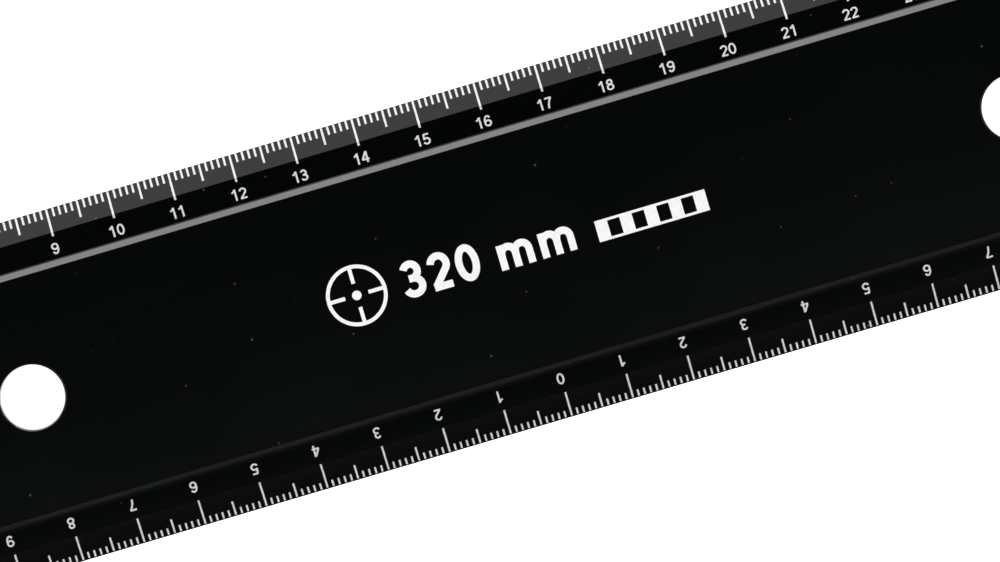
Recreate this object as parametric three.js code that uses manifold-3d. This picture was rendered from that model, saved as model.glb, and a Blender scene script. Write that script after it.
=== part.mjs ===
// Combination square: a wide stepped rule that slides through a cast square head and is locked
// there by a hooked bolt. The head carries a level vial and a scriber.
//
// Millimetres, +Z up. The square lies on the back of its head. The blade runs along X, with its
// zero end at low X and the head at its high end, and +Y points to the blade's upper scale.
// Everything is drawn with X = 0 at the blade's zero end, Y = 0 on the blade's centreline and
// Z = 0 on the back of the head. The group is then moved, so that the origin of the finished
// square is the middle of its footprint.

import * as THREE from "three";
import { mergeVertices } from "three/addons/utils/BufferGeometryUtils.js";
import Module from "manifold-3d";

const wasm = await Module();
wasm.setup();

// ---------------------------------------------------------------------------------------------
// Driving dimensions
// ---------------------------------------------------------------------------------------------

const GAP = 0.3; // clearance between neighbouring pieces
const PAST = 1; // how far a cutting tool runs past the face that it leaves

const BLADE = {
  length: 320,
  width: 54.7,
  backZ: 9,
  thickness: 4,
  stripThickness: 3, // under the two strips of numbers
  edgeThickness: 1, // at the thin end of each bevel
  endRadius: 0.8,
  holeDiameter: 10.3,
  holeChamfer: 0.2,
  holeX: [79.8, 240.3],
  holeY: -0.4,
  groove: { width: 4, depth: 1.2, fromLowerEdge: 14 },
};

// Widths of the steps from each long edge inwards: bevel, flat strip, sloping rise to the middle.
const UPPER_EDGE = { bevel: 3.85, strip: 3.8, rise: 1.45 };
const LOWER_EDGE = { bevel: 4.2, strip: 3, rise: 1.6 };
const RISE_SLOPE = THREE.MathUtils.degToRad(42);

const HEAD = {
  faceX: 248, // the 90 degree face
  length: 72,
  thickness: 22,
  wallTopY: 17,
  noseY: -98,
  heelY: -40, // where the 45 degree face begins, at the far end of the head
  rim: 6,
  panelDepth: 1.5,
  seatRelief: 0.8,
  landLength: 11,
};

const LOCK = {
  x: HEAD.faceX + 32,
  z: 8,
  bodyRadius: 4.5,
  shankRadius: 2.5, // an M5 thread, so a turn of the nut lifts the bolt by 0.8 mm
  topY: 14,
  shoulderY: -29.5,
  ledgeY: -35,
  endY: -51.8,
  keyWidth: 2.4,
  keyHalfLength: 3,
};

const WINDOW = { left: 15, right: 58, topY: -38.5, bottomY: -53.5, wall: 8, radius: 3 };
const WASHER = { radius: 6.5, thickness: 1.2 };
const NUT = { radius: 7.5, length: 10, teeth: 40, toothDepth: 0.4, edge: 0.8 };
const SPRING = { wireRadius: 0.45, meanRadius: 3.3, turns: 3 };

const VIAL = {
  y: -63,
  z: 15.5,
  left: 12,
  right: 34,
  radius: 4.2,
  boreRadius: 3.2,
  capLength: 2,
  bubbleLength: 6,
  bubbleHeight: 1.5,
  backWindow: { inset: 4, halfHeight: 3 },
};

const SCRIBER = {
  offset: 6.5, // from the 90 degree face
  z: 11,
  radius: 1.2,
  tipY: -44,
  coneLength: 6,
  bushRadius: 3,
  bushLength: 6,
  knobRadius: 4,
  knobLength: 8,
  knobTeeth: 24,
  knobGrip: 4.5, // how much of the needle sits in the knob
};

// ---------------------------------------------------------------------------------------------
// Shapes and solids
// ---------------------------------------------------------------------------------------------

const ROUND = 48; // sides of a full circle that shows

// An outline through the corners given as [x, y, radius], each rounded with a true arc.
function roundedOutline(corners) {
  const outline = new THREE.Shape();
  corners.forEach(([x, y, radius = 0], i) => {
    const corner = new THREE.Vector2(x, y);
    const [bx, by] = corners[(i + corners.length - 1) % corners.length];
    const [ax, ay] = corners[(i + 1) % corners.length];
    const before = new THREE.Vector2(bx, by).sub(corner).normalize();
    const after = new THREE.Vector2(ax, ay).sub(corner).normalize();
    const place = i === 0 ? "moveTo" : "lineTo";
    if (radius === 0) {
      outline[place](x, y);
      return;
    }
    const halfAngle = Math.acos(before.dot(after)) / 2;
    const start = corner.clone().addScaledVector(before, radius / Math.tan(halfAngle));
    const end = corner.clone().addScaledVector(after, radius / Math.tan(halfAngle));
    const inward = before.clone().add(after).normalize();
    const centre = corner.clone().addScaledVector(inward, radius / Math.sin(halfAngle));
    const clockwise = before.cross(after) > 0;
    outline[place](start.x, start.y);
    outline.absarc(
      centre.x,
      centre.y,
      radius,
      Math.atan2(start.y - centre.y, start.x - centre.x),
      Math.atan2(end.y - centre.y, end.x - centre.x),
      clockwise,
    );
  });
  return outline;
}

// A plate from z0 to z1 with the given outline in X and Y.
function plate(outline, z0, z1, curveSegments = 8) {
  const geometry = new THREE.ExtrudeGeometry(outline, {
    depth: z1 - z0,
    bevelEnabled: false,
    curveSegments,
  });
  return geometry.translate(0, 0, z0);
}

function block(x0, x1, y0, y1, z0, z1) {
  const geometry = new THREE.BoxGeometry(x1 - x0, y1 - y0, z1 - z0);
  return geometry.translate((x0 + x1) / 2, (y0 + y1) / 2, (z0 + z1) / 2);
}

// A solid of revolution about the line through (x, z) along Y. The profile holds [radius, y].
function turned(profile, x, z, sides = ROUND) {
  const points = profile.map(([radius, y]) => new THREE.Vector2(radius, y));
  return new THREE.LatheGeometry(points, sides).translate(x, 0, z);
}

function rodAlongY(radius, y0, y1, x, z, sides = ROUND) {
  return turned([[0, y0], [radius, y0], [radius, y1], [0, y1]], x, z, sides);
}

function tubeAlongY(inner, outer, y0, y1, x, z, sides = ROUND) {
  return turned([[inner, y0], [outer, y0], [outer, y1], [inner, y1], [inner, y0]], x, z, sides);
}

// Turns a solid of revolution from the Y axis onto the X axis.
function alongX(geometry) {
  return geometry.rotateZ(-Math.PI / 2);
}

function solid(geometry) {
  const bare = geometry.clone();
  bare.deleteAttribute("normal");
  bare.deleteAttribute("uv");
  const merged = mergeVertices(bare, 1e-4);
  return new wasm.Manifold(
    new wasm.Mesh({
      numProp: 3,
      vertProperties: new Float32Array(merged.attributes.position.array),
      triVerts: new Uint32Array(merged.index.array),
    }),
  );
}

function geometryOf(manifold) {
  const mesh = manifold.getMesh();
  const geometry = new THREE.BufferGeometry();
  geometry.setAttribute("position", new THREE.BufferAttribute(mesh.vertProperties, 3));
  geometry.setIndex(new THREE.BufferAttribute(mesh.triVerts, 1));
  geometry.computeVertexNormals();
  return geometry;
}

// The first geometry with all the others cut out of it.
function cut(body, ...tools) {
  return geometryOf(tools.reduce((rest, tool) => rest.subtract(solid(tool)), solid(body)));
}

function joined(...geometries) {
  return geometryOf(geometries.map(solid).reduce((whole, next) => whole.add(next)));
}

// ---------------------------------------------------------------------------------------------
// Blade
// ---------------------------------------------------------------------------------------------

// The rise from a strip to the raised middle: a hollow foot, tangent to the strip, that runs into a
// straight slope. The foot's radius makes the slope end at the middle's edge. Returns pairs of
// distance run and height gained.
function slopingRise(run) {
  const height = BLADE.thickness - BLADE.stripThickness;
  const [sin, cos, tan] = [Math.sin(RISE_SLOPE), Math.cos(RISE_SLOPE), Math.tan(RISE_SLOPE)];
  const radius = (run * tan - height) / (sin * tan - 1 + cos);
  const steps = 6;
  const foot = Array.from({ length: steps + 1 }, (_, i) => {
    const angle = (RISE_SLOPE * i) / steps;
    return [radius * Math.sin(angle), radius * (1 - Math.cos(angle))];
  });
  return [...foot, [run, height]];
}

// Half of the blade's front, from a long edge inwards, as [distance from the edge, height].
function frontSteps(edge) {
  const toRise = edge.bevel + edge.strip;
  return [
    [0, BLADE.edgeThickness],
    [edge.bevel, BLADE.stripThickness],
    ...slopingRise(edge.rise).map(([run, height]) => [toRise + run, BLADE.stripThickness + height]),
  ];
}

function bladeSection() {
  const half = BLADE.width / 2;
  const { width, depth, fromLowerEdge } = BLADE.groove;
  const grooveLow = -half + fromLowerEdge - width / 2;
  const back = [
    [-half, 0],
    [grooveLow, 0],
    [grooveLow, depth],
    [grooveLow + width, depth],
    [grooveLow + width, 0],
    [half, 0],
  ];
  const upper = frontSteps(UPPER_EDGE).map(([inwards, height]) => [half - inwards, height]);
  const lower = frontSteps(LOWER_EDGE).map(([inwards, height]) => [inwards - half, height]);
  return new THREE.Shape(
    [...back, ...upper, ...lower.reverse()].map(([y, z]) => new THREE.Vector2(y, z)),
  );
}

function hangingHole(x) {
  const radius = BLADE.holeDiameter / 2;
  const wide = radius + BLADE.holeChamfer + PAST;
  const top = BLADE.thickness;
  const points = [
    [0, -PAST],
    [wide, -PAST],
    [radius, BLADE.holeChamfer],
    [radius, top - BLADE.holeChamfer],
    [wide, top + PAST],
    [0, top + PAST],
  ].map(([r, z]) => new THREE.Vector2(r, z));
  return new THREE.LatheGeometry(points, ROUND)
    .rotateX(Math.PI / 2)
    .translate(x, BLADE.holeY, BLADE.backZ);
}

function blade() {
  const bar = new THREE.ExtrudeGeometry(bladeSection(), { depth: BLADE.length, bevelEnabled: false });
  const axes = new THREE.Matrix4().makeBasis(
    new THREE.Vector3(0, 1, 0),
    new THREE.Vector3(0, 0, 1),
    new THREE.Vector3(1, 0, 0),
  );
  bar.applyMatrix4(axes).translate(0, 0, BLADE.backZ);
  const half = BLADE.width / 2;
  const r = BLADE.endRadius;
  const plan = roundedOutline([
    [0, -half, r],
    [BLADE.length, -half, r],
    [BLADE.length, half, r],
    [0, half, r],
  ]);
  const rounded = plate(plan, BLADE.backZ - PAST, BLADE.backZ + BLADE.thickness + PAST, 4);
  const holes = BLADE.holeX.map((x) => solid(hangingHole(x)));
  return geometryOf(holes.reduce((rest, hole) => rest.subtract(hole), solid(bar).intersect(solid(rounded))));
}

// ---------------------------------------------------------------------------------------------
// Square head
// ---------------------------------------------------------------------------------------------

const SEAT_Y = -BLADE.width / 2 - GAP;
const SLOT = { back: BLADE.backZ - GAP, front: BLADE.backZ + BLADE.thickness + GAP };
const FAR_X = HEAD.faceX + HEAD.length;

// X on a line parallel to the 45 degree face, set back from it by the given wall, at height y.
function slopeX(y, wall = 0) {
  return FAR_X + (y - HEAD.heelY) - wall * Math.SQRT2;
}

// Y on the same line at a given X.
function slopeY(x, wall = 0) {
  return HEAD.heelY + (x - FAR_X) + wall * Math.SQRT2;
}

function headOutline() {
  return roundedOutline([
    [HEAD.faceX, HEAD.wallTopY, 5],
    [HEAD.faceX, HEAD.noseY, 2],
    [slopeX(HEAD.noseY), HEAD.noseY, 6],
    [FAR_X, HEAD.heelY, 3],
    [FAR_X, HEAD.wallTopY, 5],
  ]);
}

function thumbWindow() {
  const left = HEAD.faceX + WINDOW.left;
  const right = HEAD.faceX + WINDOW.right;
  const r = WINDOW.radius;
  return roundedOutline([
    [left, WINDOW.topY, r],
    [left, WINDOW.bottomY, r],
    [slopeX(WINDOW.bottomY, WINDOW.wall), WINDOW.bottomY, r],
    [right, slopeY(right, WINDOW.wall), 1],
    [right, WINDOW.topY, 1],
  ]);
}

// The two shallow panels of each side, inside the rim of the casting.
function panels() {
  const left = HEAD.faceX + HEAD.rim;
  const right = FAR_X - HEAD.rim;
  const bandLow = SEAT_Y - 4;
  const bandHigh = SEAT_Y + 6;
  const footY = HEAD.noseY + HEAD.rim;
  const upper = roundedOutline([
    [left, HEAD.wallTopY - HEAD.rim, 4],
    [left, bandHigh, 2],
    [right, bandHigh, 2],
    [right, HEAD.wallTopY - HEAD.rim, 4],
  ]);
  const lower = roundedOutline([
    [left, bandLow, 2],
    [left, footY, 2],
    [slopeX(footY, HEAD.rim), footY, 2],
    [right, slopeY(right, HEAD.rim), 2],
    [right, bandLow, 1],
  ]);
  return [upper, lower];
}

function headCasting() {
  const low = -PAST;
  const high = HEAD.thickness + PAST;
  const left = HEAD.faceX - PAST;
  const right = FAR_X + PAST;
  const topY = HEAD.wallTopY + PAST;
  const scriberX = HEAD.faceX + SCRIBER.offset;
  const bushTopY = HEAD.noseY + SCRIBER.bushLength + GAP;
  const vialLeft = HEAD.faceX + VIAL.left;
  const vialRight = HEAD.faceX + VIAL.right;
  const { inset, halfHeight } = VIAL.backWindow;
  const pocket = VIAL.radius + GAP;
  const slot = block(left, right, SEAT_Y, topY, SLOT.back, SLOT.front);
  const relief = block(
    HEAD.faceX + HEAD.landLength,
    FAR_X - HEAD.landLength,
    SEAT_Y - HEAD.seatRelief,
    SEAT_Y + PAST,
    SLOT.back,
    SLOT.front,
  );
  const boltBore = rodAlongY(LOCK.bodyRadius + GAP, LOCK.ledgeY, topY, LOCK.x, LOCK.z);
  const shankBore = rodAlongY(LOCK.shankRadius + GAP, WINDOW.topY - PAST, LOCK.ledgeY + PAST, LOCK.x, LOCK.z);
  // Above the seat the bore only opens the back wall: the front wall stays whole.
  const frontWall = block(left, right, SEAT_Y, topY, SLOT.front, high);
  const bore = geometryOf(solid(boltBore).subtract(solid(frontWall)));
  const sidePanels = panels().flatMap((outline) => [
    plate(outline, low, HEAD.panelDepth),
    plate(outline, HEAD.thickness - HEAD.panelDepth, high),
  ]);
  return cut(
    plate(headOutline(), 0, HEAD.thickness),
    slot,
    relief,
    bore,
    shankBore,
    plate(thumbWindow(), low, high),
    ...sidePanels,
    block(vialLeft, vialRight, VIAL.y - pocket, VIAL.y + pocket, VIAL.z - pocket, high),
    block(
      vialLeft + inset,
      vialRight - inset,
      VIAL.y - halfHeight,
      VIAL.y + halfHeight,
      low,
      VIAL.z,
    ),
    rodAlongY(SCRIBER.radius + 0.5, HEAD.noseY - PAST, SCRIBER.tipY + 3, scriberX, SCRIBER.z, 24),
    rodAlongY(SCRIBER.bushRadius + GAP, HEAD.noseY - PAST, bushTopY, scriberX, SCRIBER.z),
  );
}

// ---------------------------------------------------------------------------------------------
// Lock: hooked bolt, spring, washer and nut
// ---------------------------------------------------------------------------------------------

function lockBolt() {
  const round = turned(
    [
      [0, LOCK.endY],
      [LOCK.shankRadius - 0.6, LOCK.endY],
      [LOCK.shankRadius, LOCK.endY + 0.6],
      [LOCK.shankRadius, LOCK.shoulderY],
      [LOCK.bodyRadius, LOCK.shoulderY],
      [LOCK.bodyRadius, LOCK.topY - 0.6],
      [LOCK.bodyRadius - 0.6, LOCK.topY],
      [0, LOCK.topY],
    ],
    LOCK.x,
    LOCK.z,
  );
  const reach = LOCK.bodyRadius + PAST;
  const flatZ = SLOT.back;
  const flat = block(
    LOCK.x - reach,
    LOCK.x + reach,
    SEAT_Y - HEAD.seatRelief,
    LOCK.topY + PAST,
    flatZ,
    LOCK.z + reach,
  );
  const { width, depth, fromLowerEdge } = BLADE.groove;
  const keyLowY = -BLADE.width / 2 + fromLowerEdge - width / 2 + GAP;
  const key = block(
    LOCK.x - LOCK.keyHalfLength,
    LOCK.x + LOCK.keyHalfLength,
    keyLowY,
    keyLowY + LOCK.keyWidth,
    flatZ - PAST,
    BLADE.backZ + depth - GAP,
  );
  return joined(cut(round, flat), key);
}

class Helix extends THREE.Curve {
  getPoint(t, target = new THREE.Vector3()) {
    const angle = 2 * Math.PI * SPRING.turns * t;
    const low = LOCK.ledgeY + GAP + SPRING.wireRadius;
    const high = LOCK.shoulderY - GAP - SPRING.wireRadius;
    return target.set(
      SPRING.meanRadius * Math.cos(angle),
      low + (high - low) * t,
      SPRING.meanRadius * Math.sin(angle),
    );
  }
}

function lockSpring() {
  const wire = new THREE.Shape().absarc(0, 0, SPRING.wireRadius, 0, 2 * Math.PI);
  const geometry = new THREE.ExtrudeGeometry(wire, {
    steps: SPRING.turns * 20,
    curveSegments: 4,
    extrudePath: new Helix(),
  });
  return geometry.translate(LOCK.x, 0, LOCK.z);
}

function lockWasher() {
  const topY = WINDOW.topY - GAP;
  const inner = LOCK.shankRadius + GAP;
  return tubeAlongY(inner, WASHER.radius, topY - WASHER.thickness, topY, LOCK.x, LOCK.z);
}

// The outline of a round grip with straight V-shaped teeth.
function toothedOutline(radius, teeth, depth) {
  const points = Array.from({ length: teeth * 2 }, (_, i) => {
    const angle = (Math.PI * i) / teeth;
    const r = i % 2 ? radius - depth : radius;
    return new THREE.Vector2(r * Math.cos(angle), r * Math.sin(angle));
  });
  return new THREE.Shape(points);
}

// A toothed grip from y0 to y1 about the line through (x, z), its ends turned down to a cone.
function knurledGrip(radius, teeth, depth, edge, y0, y1, x, z) {
  const grip = plate(toothedOutline(radius, teeth, depth), 0, y1 - y0)
    .rotateX(Math.PI / 2)
    .translate(x, y1, z);
  const envelope = turned(
    [
      [0, y0],
      [radius - edge, y0],
      [radius + PAST - edge, y0 + PAST],
      [radius + PAST - edge, y1 - PAST],
      [radius - edge, y1],
      [0, y1],
    ],
    x,
    z,
  );
  return geometryOf(solid(grip).intersect(solid(envelope)));
}

function lockNut() {
  const topY = WINDOW.topY - 2 * GAP - WASHER.thickness;
  const lowY = topY - NUT.length;
  const grip = knurledGrip(NUT.radius, NUT.teeth, NUT.toothDepth, NUT.edge, lowY, topY, LOCK.x, LOCK.z);
  const bore = rodAlongY(LOCK.shankRadius + GAP, lowY - PAST, topY + PAST, LOCK.x, LOCK.z);
  return cut(grip, bore);
}

// ---------------------------------------------------------------------------------------------
// Scriber
// ---------------------------------------------------------------------------------------------

const SCRIBER_X = HEAD.faceX + SCRIBER.offset;
const KNOB_TOP_Y = HEAD.noseY - GAP;
const KNOB_LOW_Y = KNOB_TOP_Y - SCRIBER.knobLength;

function scriberNeedle() {
  const profile = [
    [0, KNOB_TOP_Y - SCRIBER.knobGrip],
    [SCRIBER.radius, KNOB_TOP_Y - SCRIBER.knobGrip],
    [SCRIBER.radius, SCRIBER.tipY - SCRIBER.coneLength],
    [0, SCRIBER.tipY],
  ];
  return turned(profile, SCRIBER_X, SCRIBER.z, 24);
}

function scriberKnob() {
  const grip = knurledGrip(
    SCRIBER.knobRadius,
    SCRIBER.knobTeeth,
    NUT.toothDepth,
    NUT.edge,
    KNOB_LOW_Y,
    KNOB_TOP_Y,
    SCRIBER_X,
    SCRIBER.z,
  );
  const socketY = KNOB_TOP_Y - SCRIBER.knobGrip - GAP;
  return cut(
    grip,
    rodAlongY(SCRIBER.radius + GAP, socketY, KNOB_TOP_Y + PAST, SCRIBER_X, SCRIBER.z, 24),
  );
}

function scriberBushing() {
  const inner = SCRIBER.radius + GAP;
  const topY = HEAD.noseY + SCRIBER.bushLength;
  return tubeAlongY(inner, SCRIBER.bushRadius, HEAD.noseY, topY, SCRIBER_X, SCRIBER.z);
}

// ---------------------------------------------------------------------------------------------
// Level vial
// ---------------------------------------------------------------------------------------------

const VIAL_START = HEAD.faceX + VIAL.left + GAP;
const VIAL_END = HEAD.faceX + VIAL.right - GAP;
const GLASS_START = VIAL_START + VIAL.capLength + GAP;
const GLASS_END = VIAL_END - VIAL.capLength - GAP;

// A turned piece on the vial's axis. The profile holds [radius, x].
function onVialAxis(profile) {
  return alongX(turned(profile, 0, 0)).translate(0, VIAL.y, VIAL.z);
}

function vialTube() {
  return onVialAxis([
    [VIAL.boreRadius, GLASS_START],
    [VIAL.radius, GLASS_START],
    [VIAL.radius, GLASS_END],
    [VIAL.boreRadius, GLASS_END],
    [VIAL.boreRadius, GLASS_START],
  ]);
}

// Spirit filling the bore, with the bubble lying against the front of the glass.
function vialLiquid() {
  const radius = VIAL.boreRadius - GAP;
  const filling = onVialAxis([
    [0, GLASS_START],
    [radius, GLASS_START],
    [radius, GLASS_END],
    [0, GLASS_END],
  ]);
  const bubble = new THREE.SphereGeometry(1, 24, 16)
    .scale(VIAL.bubbleLength / 2, radius * 0.75, VIAL.bubbleHeight)
    .translate((GLASS_START + GLASS_END) / 2, VIAL.y, VIAL.z + radius);
  return cut(filling, bubble);
}

function vialCap(start) {
  const end = start + VIAL.capLength;
  return onVialAxis([
    [0, start],
    [VIAL.radius, start],
    [VIAL.radius, end],
    [0, end],
  ]);
}

// ---------------------------------------------------------------------------------------------
// Assembly
// ---------------------------------------------------------------------------------------------

const MATERIALS = {
  anodised: { color: 0x0d0f0e, roughness: 0.42, metalness: 0.2 },
  paintedIron: { color: 0x1a1b1c, roughness: 0.6, metalness: 0.1 },
  steel: { color: 0xb9bbbd, roughness: 0.3, metalness: 1 },
  springSteel: { color: 0x8f9499, roughness: 0.35, metalness: 1 },
  brass: { color: 0xc79b4b, roughness: 0.3, metalness: 1 },
  glass: { color: 0xe6f2ee, roughness: 0.05, metalness: 0 },
  spirit: { color: 0xb8dd3a, roughness: 0.1, metalness: 0 },
};

function piece(name, geometry, material) {
  const mesh = new THREE.Mesh(geometry, new THREE.MeshStandardMaterial(MATERIALS[material]));
  mesh.name = name;
  return mesh;
}

const footprintLowY = KNOB_LOW_Y;
const footprintHighY = BLADE.width / 2;

const square = new THREE.Group();
square.position.set(-BLADE.length / 2, -(footprintLowY + footprintHighY) / 2, 0);
square.add(
  piece("blade", blade(), "anodised"),
  piece("head_casting", headCasting(), "paintedIron"),
  piece("lock_bolt", lockBolt(), "steel"),
  piece("lock_spring", lockSpring(), "springSteel"),
  piece("lock_washer", lockWasher(), "steel"),
  piece("lock_nut", lockNut(), "steel"),
  piece("scriber_needle", scriberNeedle(), "steel"),
  piece("scriber_knob", scriberKnob(), "brass"),
  piece("scriber_bushing", scriberBushing(), "brass"),
  piece("vial_tube", vialTube(), "glass"),
  piece("vial_liquid", vialLiquid(), "spirit"),
  piece("vial_cap_left", vialCap(VIAL_START), "brass"),
  piece("vial_cap_right", vialCap(VIAL_END - VIAL.capLength), "brass"),
);

const assembly = new THREE.Group();
assembly.add(square);

export default assembly;
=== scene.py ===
"""Looks of the combination square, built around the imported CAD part.

The blade lies along X with its printed front up. Sizes are in millimetres in the frame of the blade:
X from its zero end, Y from its centreline towards the upper scale, heights from the CAD's own Z.
place() turns them into the scene's metres.
"""

import math

import bmesh
import bpy
from mathutils import Matrix, Vector
from mathutils.geometry import delaunay_2d_cdt


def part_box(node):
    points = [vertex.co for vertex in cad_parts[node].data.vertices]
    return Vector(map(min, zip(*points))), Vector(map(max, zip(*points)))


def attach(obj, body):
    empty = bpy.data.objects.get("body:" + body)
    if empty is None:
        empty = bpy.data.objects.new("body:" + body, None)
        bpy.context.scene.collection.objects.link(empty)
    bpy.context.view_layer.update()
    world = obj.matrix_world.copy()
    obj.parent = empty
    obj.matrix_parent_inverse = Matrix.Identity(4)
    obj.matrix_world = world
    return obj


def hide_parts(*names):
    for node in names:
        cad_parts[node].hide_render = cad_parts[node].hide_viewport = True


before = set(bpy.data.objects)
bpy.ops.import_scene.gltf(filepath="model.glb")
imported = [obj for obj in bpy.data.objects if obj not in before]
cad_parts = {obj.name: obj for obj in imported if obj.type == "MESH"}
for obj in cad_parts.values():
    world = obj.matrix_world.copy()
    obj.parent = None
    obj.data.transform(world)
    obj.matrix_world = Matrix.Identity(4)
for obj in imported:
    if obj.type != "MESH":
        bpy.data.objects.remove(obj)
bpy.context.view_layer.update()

MM = 0.001
BLADE_LOW, BLADE_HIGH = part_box("blade")
BLADE_ZERO = Vector((BLADE_LOW.x, (BLADE_LOW.y + BLADE_HIGH.y) / 2, 0))
BLADE_LENGTH = (BLADE_HIGH.x - BLADE_LOW.x) / MM
BLADE_HALF_WIDTH = (BLADE_HIGH.y - BLADE_LOW.y) / 2 / MM
BLADE_BACK = BLADE_LOW.z / MM
MIDDLE_TOP = BLADE_HIGH.z / MM
EDGE_THICKNESS = 1.0
STRIP_THICKNESS = 3.0
STRIP_TOP = BLADE_BACK + STRIP_THICKNESS

X_AXIS, Y_AXIS = 0, 1
RIGHT = Vector((1, 0, 0))
DOWN = Vector((0, -1, 0))


def place(x, y, z):
    """A point of the blade's frame, in millimetres, as a point of the scene."""
    return BLADE_ZERO + Vector((x, y, z)) * MM


def middle_of(node):
    low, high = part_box(node)
    return (low + high) / 2


def upper_end(node):
    """The middle of a turned node's upper end, on its axis along Y."""
    middle = middle_of(node)
    return Vector((middle.x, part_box(node)[1].y, middle.z))


def left_end(node):
    """The middle of a turned node's left end, on its axis along X."""
    middle = middle_of(node)
    return Vector((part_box(node)[0].x, middle.y, middle.z))


def radius_and_length(node, axis):
    """The size of a turned node, in millimetres."""
    low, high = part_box(node)
    size = (high - low) / MM
    return size.z / 2, size[axis]


# ---------------------------------------------------------------------------------------------
# Camera, light and stage
# ---------------------------------------------------------------------------------------------

VIEW_CENTRE = (155.25, -3.70)  # the point of the blade that the camera looks straight down at
VIEW_WIDTH = 156.94  # millimetres across the picture, at the height of the ticks
VIEW_ROLL = 16.47  # degrees that the blade climbs across the picture
TICK_PLANE = (BLADE_BACK + EDGE_THICKNESS + STRIP_TOP) / 2  # halfway up the bevels
SENSOR = 36.0
LENS = 300.0  # long, because the photograph shows hardly any perspective
AMBIENT = 0.006  # strength of the light from all around

# The stage is in metres
FAR_CLIP = 50.0
PANEL_DISTANCE = 1.6
FLOOR_RADIUS = 8.0
FLOOR_GAP = 0.0002  # keeps the floor clear of the head's back
WALL_HEIGHT = 0.45


def make_camera():
    data = bpy.data.cameras.new("camera")
    data.type = "PERSP"
    data.sensor_width = SENSOR
    data.lens = LENS
    data.clip_end = FAR_CLIP
    camera = bpy.data.objects.new("camera", data)
    camera.location = place(*VIEW_CENTRE, TICK_PLANE + VIEW_WIDTH * LENS / SENSOR)
    camera.rotation_euler = (0, 0, -math.radians(VIEW_ROLL))
    bpy.context.scene.collection.objects.link(camera)
    bpy.context.scene.camera = camera


def area_light(name, azimuth, elevation, width, height, radiance):
    """A soft panel that faces the middle of the blade. Azimuth 0 is +Y and 90 is +X.

    Radiance is what a mirror would show of the panel, so the power follows its size.
    """
    data = bpy.data.lights.new(name, "AREA")
    data.shape = "RECTANGLE"
    data.size = width
    data.size_y = height
    data.energy = radiance * math.pi * width * height
    light = bpy.data.objects.new(name, data)
    light.visible_camera = False
    a, e = math.radians(azimuth), math.radians(elevation)
    towards = Vector((math.sin(a) * math.cos(e), math.cos(a) * math.cos(e), math.sin(e)))
    light.location = place(BLADE_LENGTH / 2, 0, MIDDLE_TOP) + towards * PANEL_DISTANCE
    light.rotation_euler = towards.to_track_quat("Z", "Y").to_euler()
    bpy.context.scene.collection.objects.link(light)


def make_lights():
    """A bright low panel beyond the upper scale rakes the blade; the sky above stays dark."""
    area_light("far_low_panel", azimuth=0, elevation=10, width=3.2, height=0.5, radiance=5.0)
    area_light("far_panel", azimuth=0, elevation=37, width=3.0, height=0.5, radiance=1.2)
    for name, azimuth in (("left_panel", -90), ("right_panel", 90)):
        area_light(name, azimuth, elevation=48, width=1.4, height=1.0, radiance=3.8)
    area_light("near_panel", azimuth=180, elevation=38, width=2.4, height=1.0, radiance=0.06)


def make_world():
    world = bpy.data.worlds.new("studio")
    world.use_nodes = True
    background = world.node_tree.nodes["Background"]
    background.inputs["Color"].default_value = (0.95, 0.97, 1.0, 1)
    background.inputs["Strength"].default_value = AMBIENT
    bpy.context.scene.world = world
    bpy.context.scene.view_settings.view_transform = "Standard"


def make_floor():
    """A white table with a low white wall around it, far outside the picture."""
    build = bmesh.new()
    bmesh.ops.create_circle(build, cap_ends=True, segments=96, radius=FLOOR_RADIUS)
    wall = bmesh.ops.extrude_edge_only(build, edges=build.edges[:])["geom"]
    lifted = [item for item in wall if isinstance(item, bmesh.types.BMVert)]
    bmesh.ops.translate(build, verts=lifted, vec=(0, 0, WALL_HEIGHT))
    floor = bpy.data.objects.new("floor", finish_mesh(build, "floor"))
    floor.location.z = -FLOOR_GAP
    bpy.context.scene.collection.objects.link(floor)
    surface = Surface("pale_floor")
    surface.set("Base Color", (0.8, 0.8, 0.8))
    surface.set("Roughness", 0.9)
    surface.set("Specular IOR Level", 0.1)
    surface.set("Emission Color", (1.0, 1.0, 1.0))
    surface.set("Emission Strength", 0.9)
    floor.data.materials.append(surface.material)


# ---------------------------------------------------------------------------------------------
# Materials
# ---------------------------------------------------------------------------------------------


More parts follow.
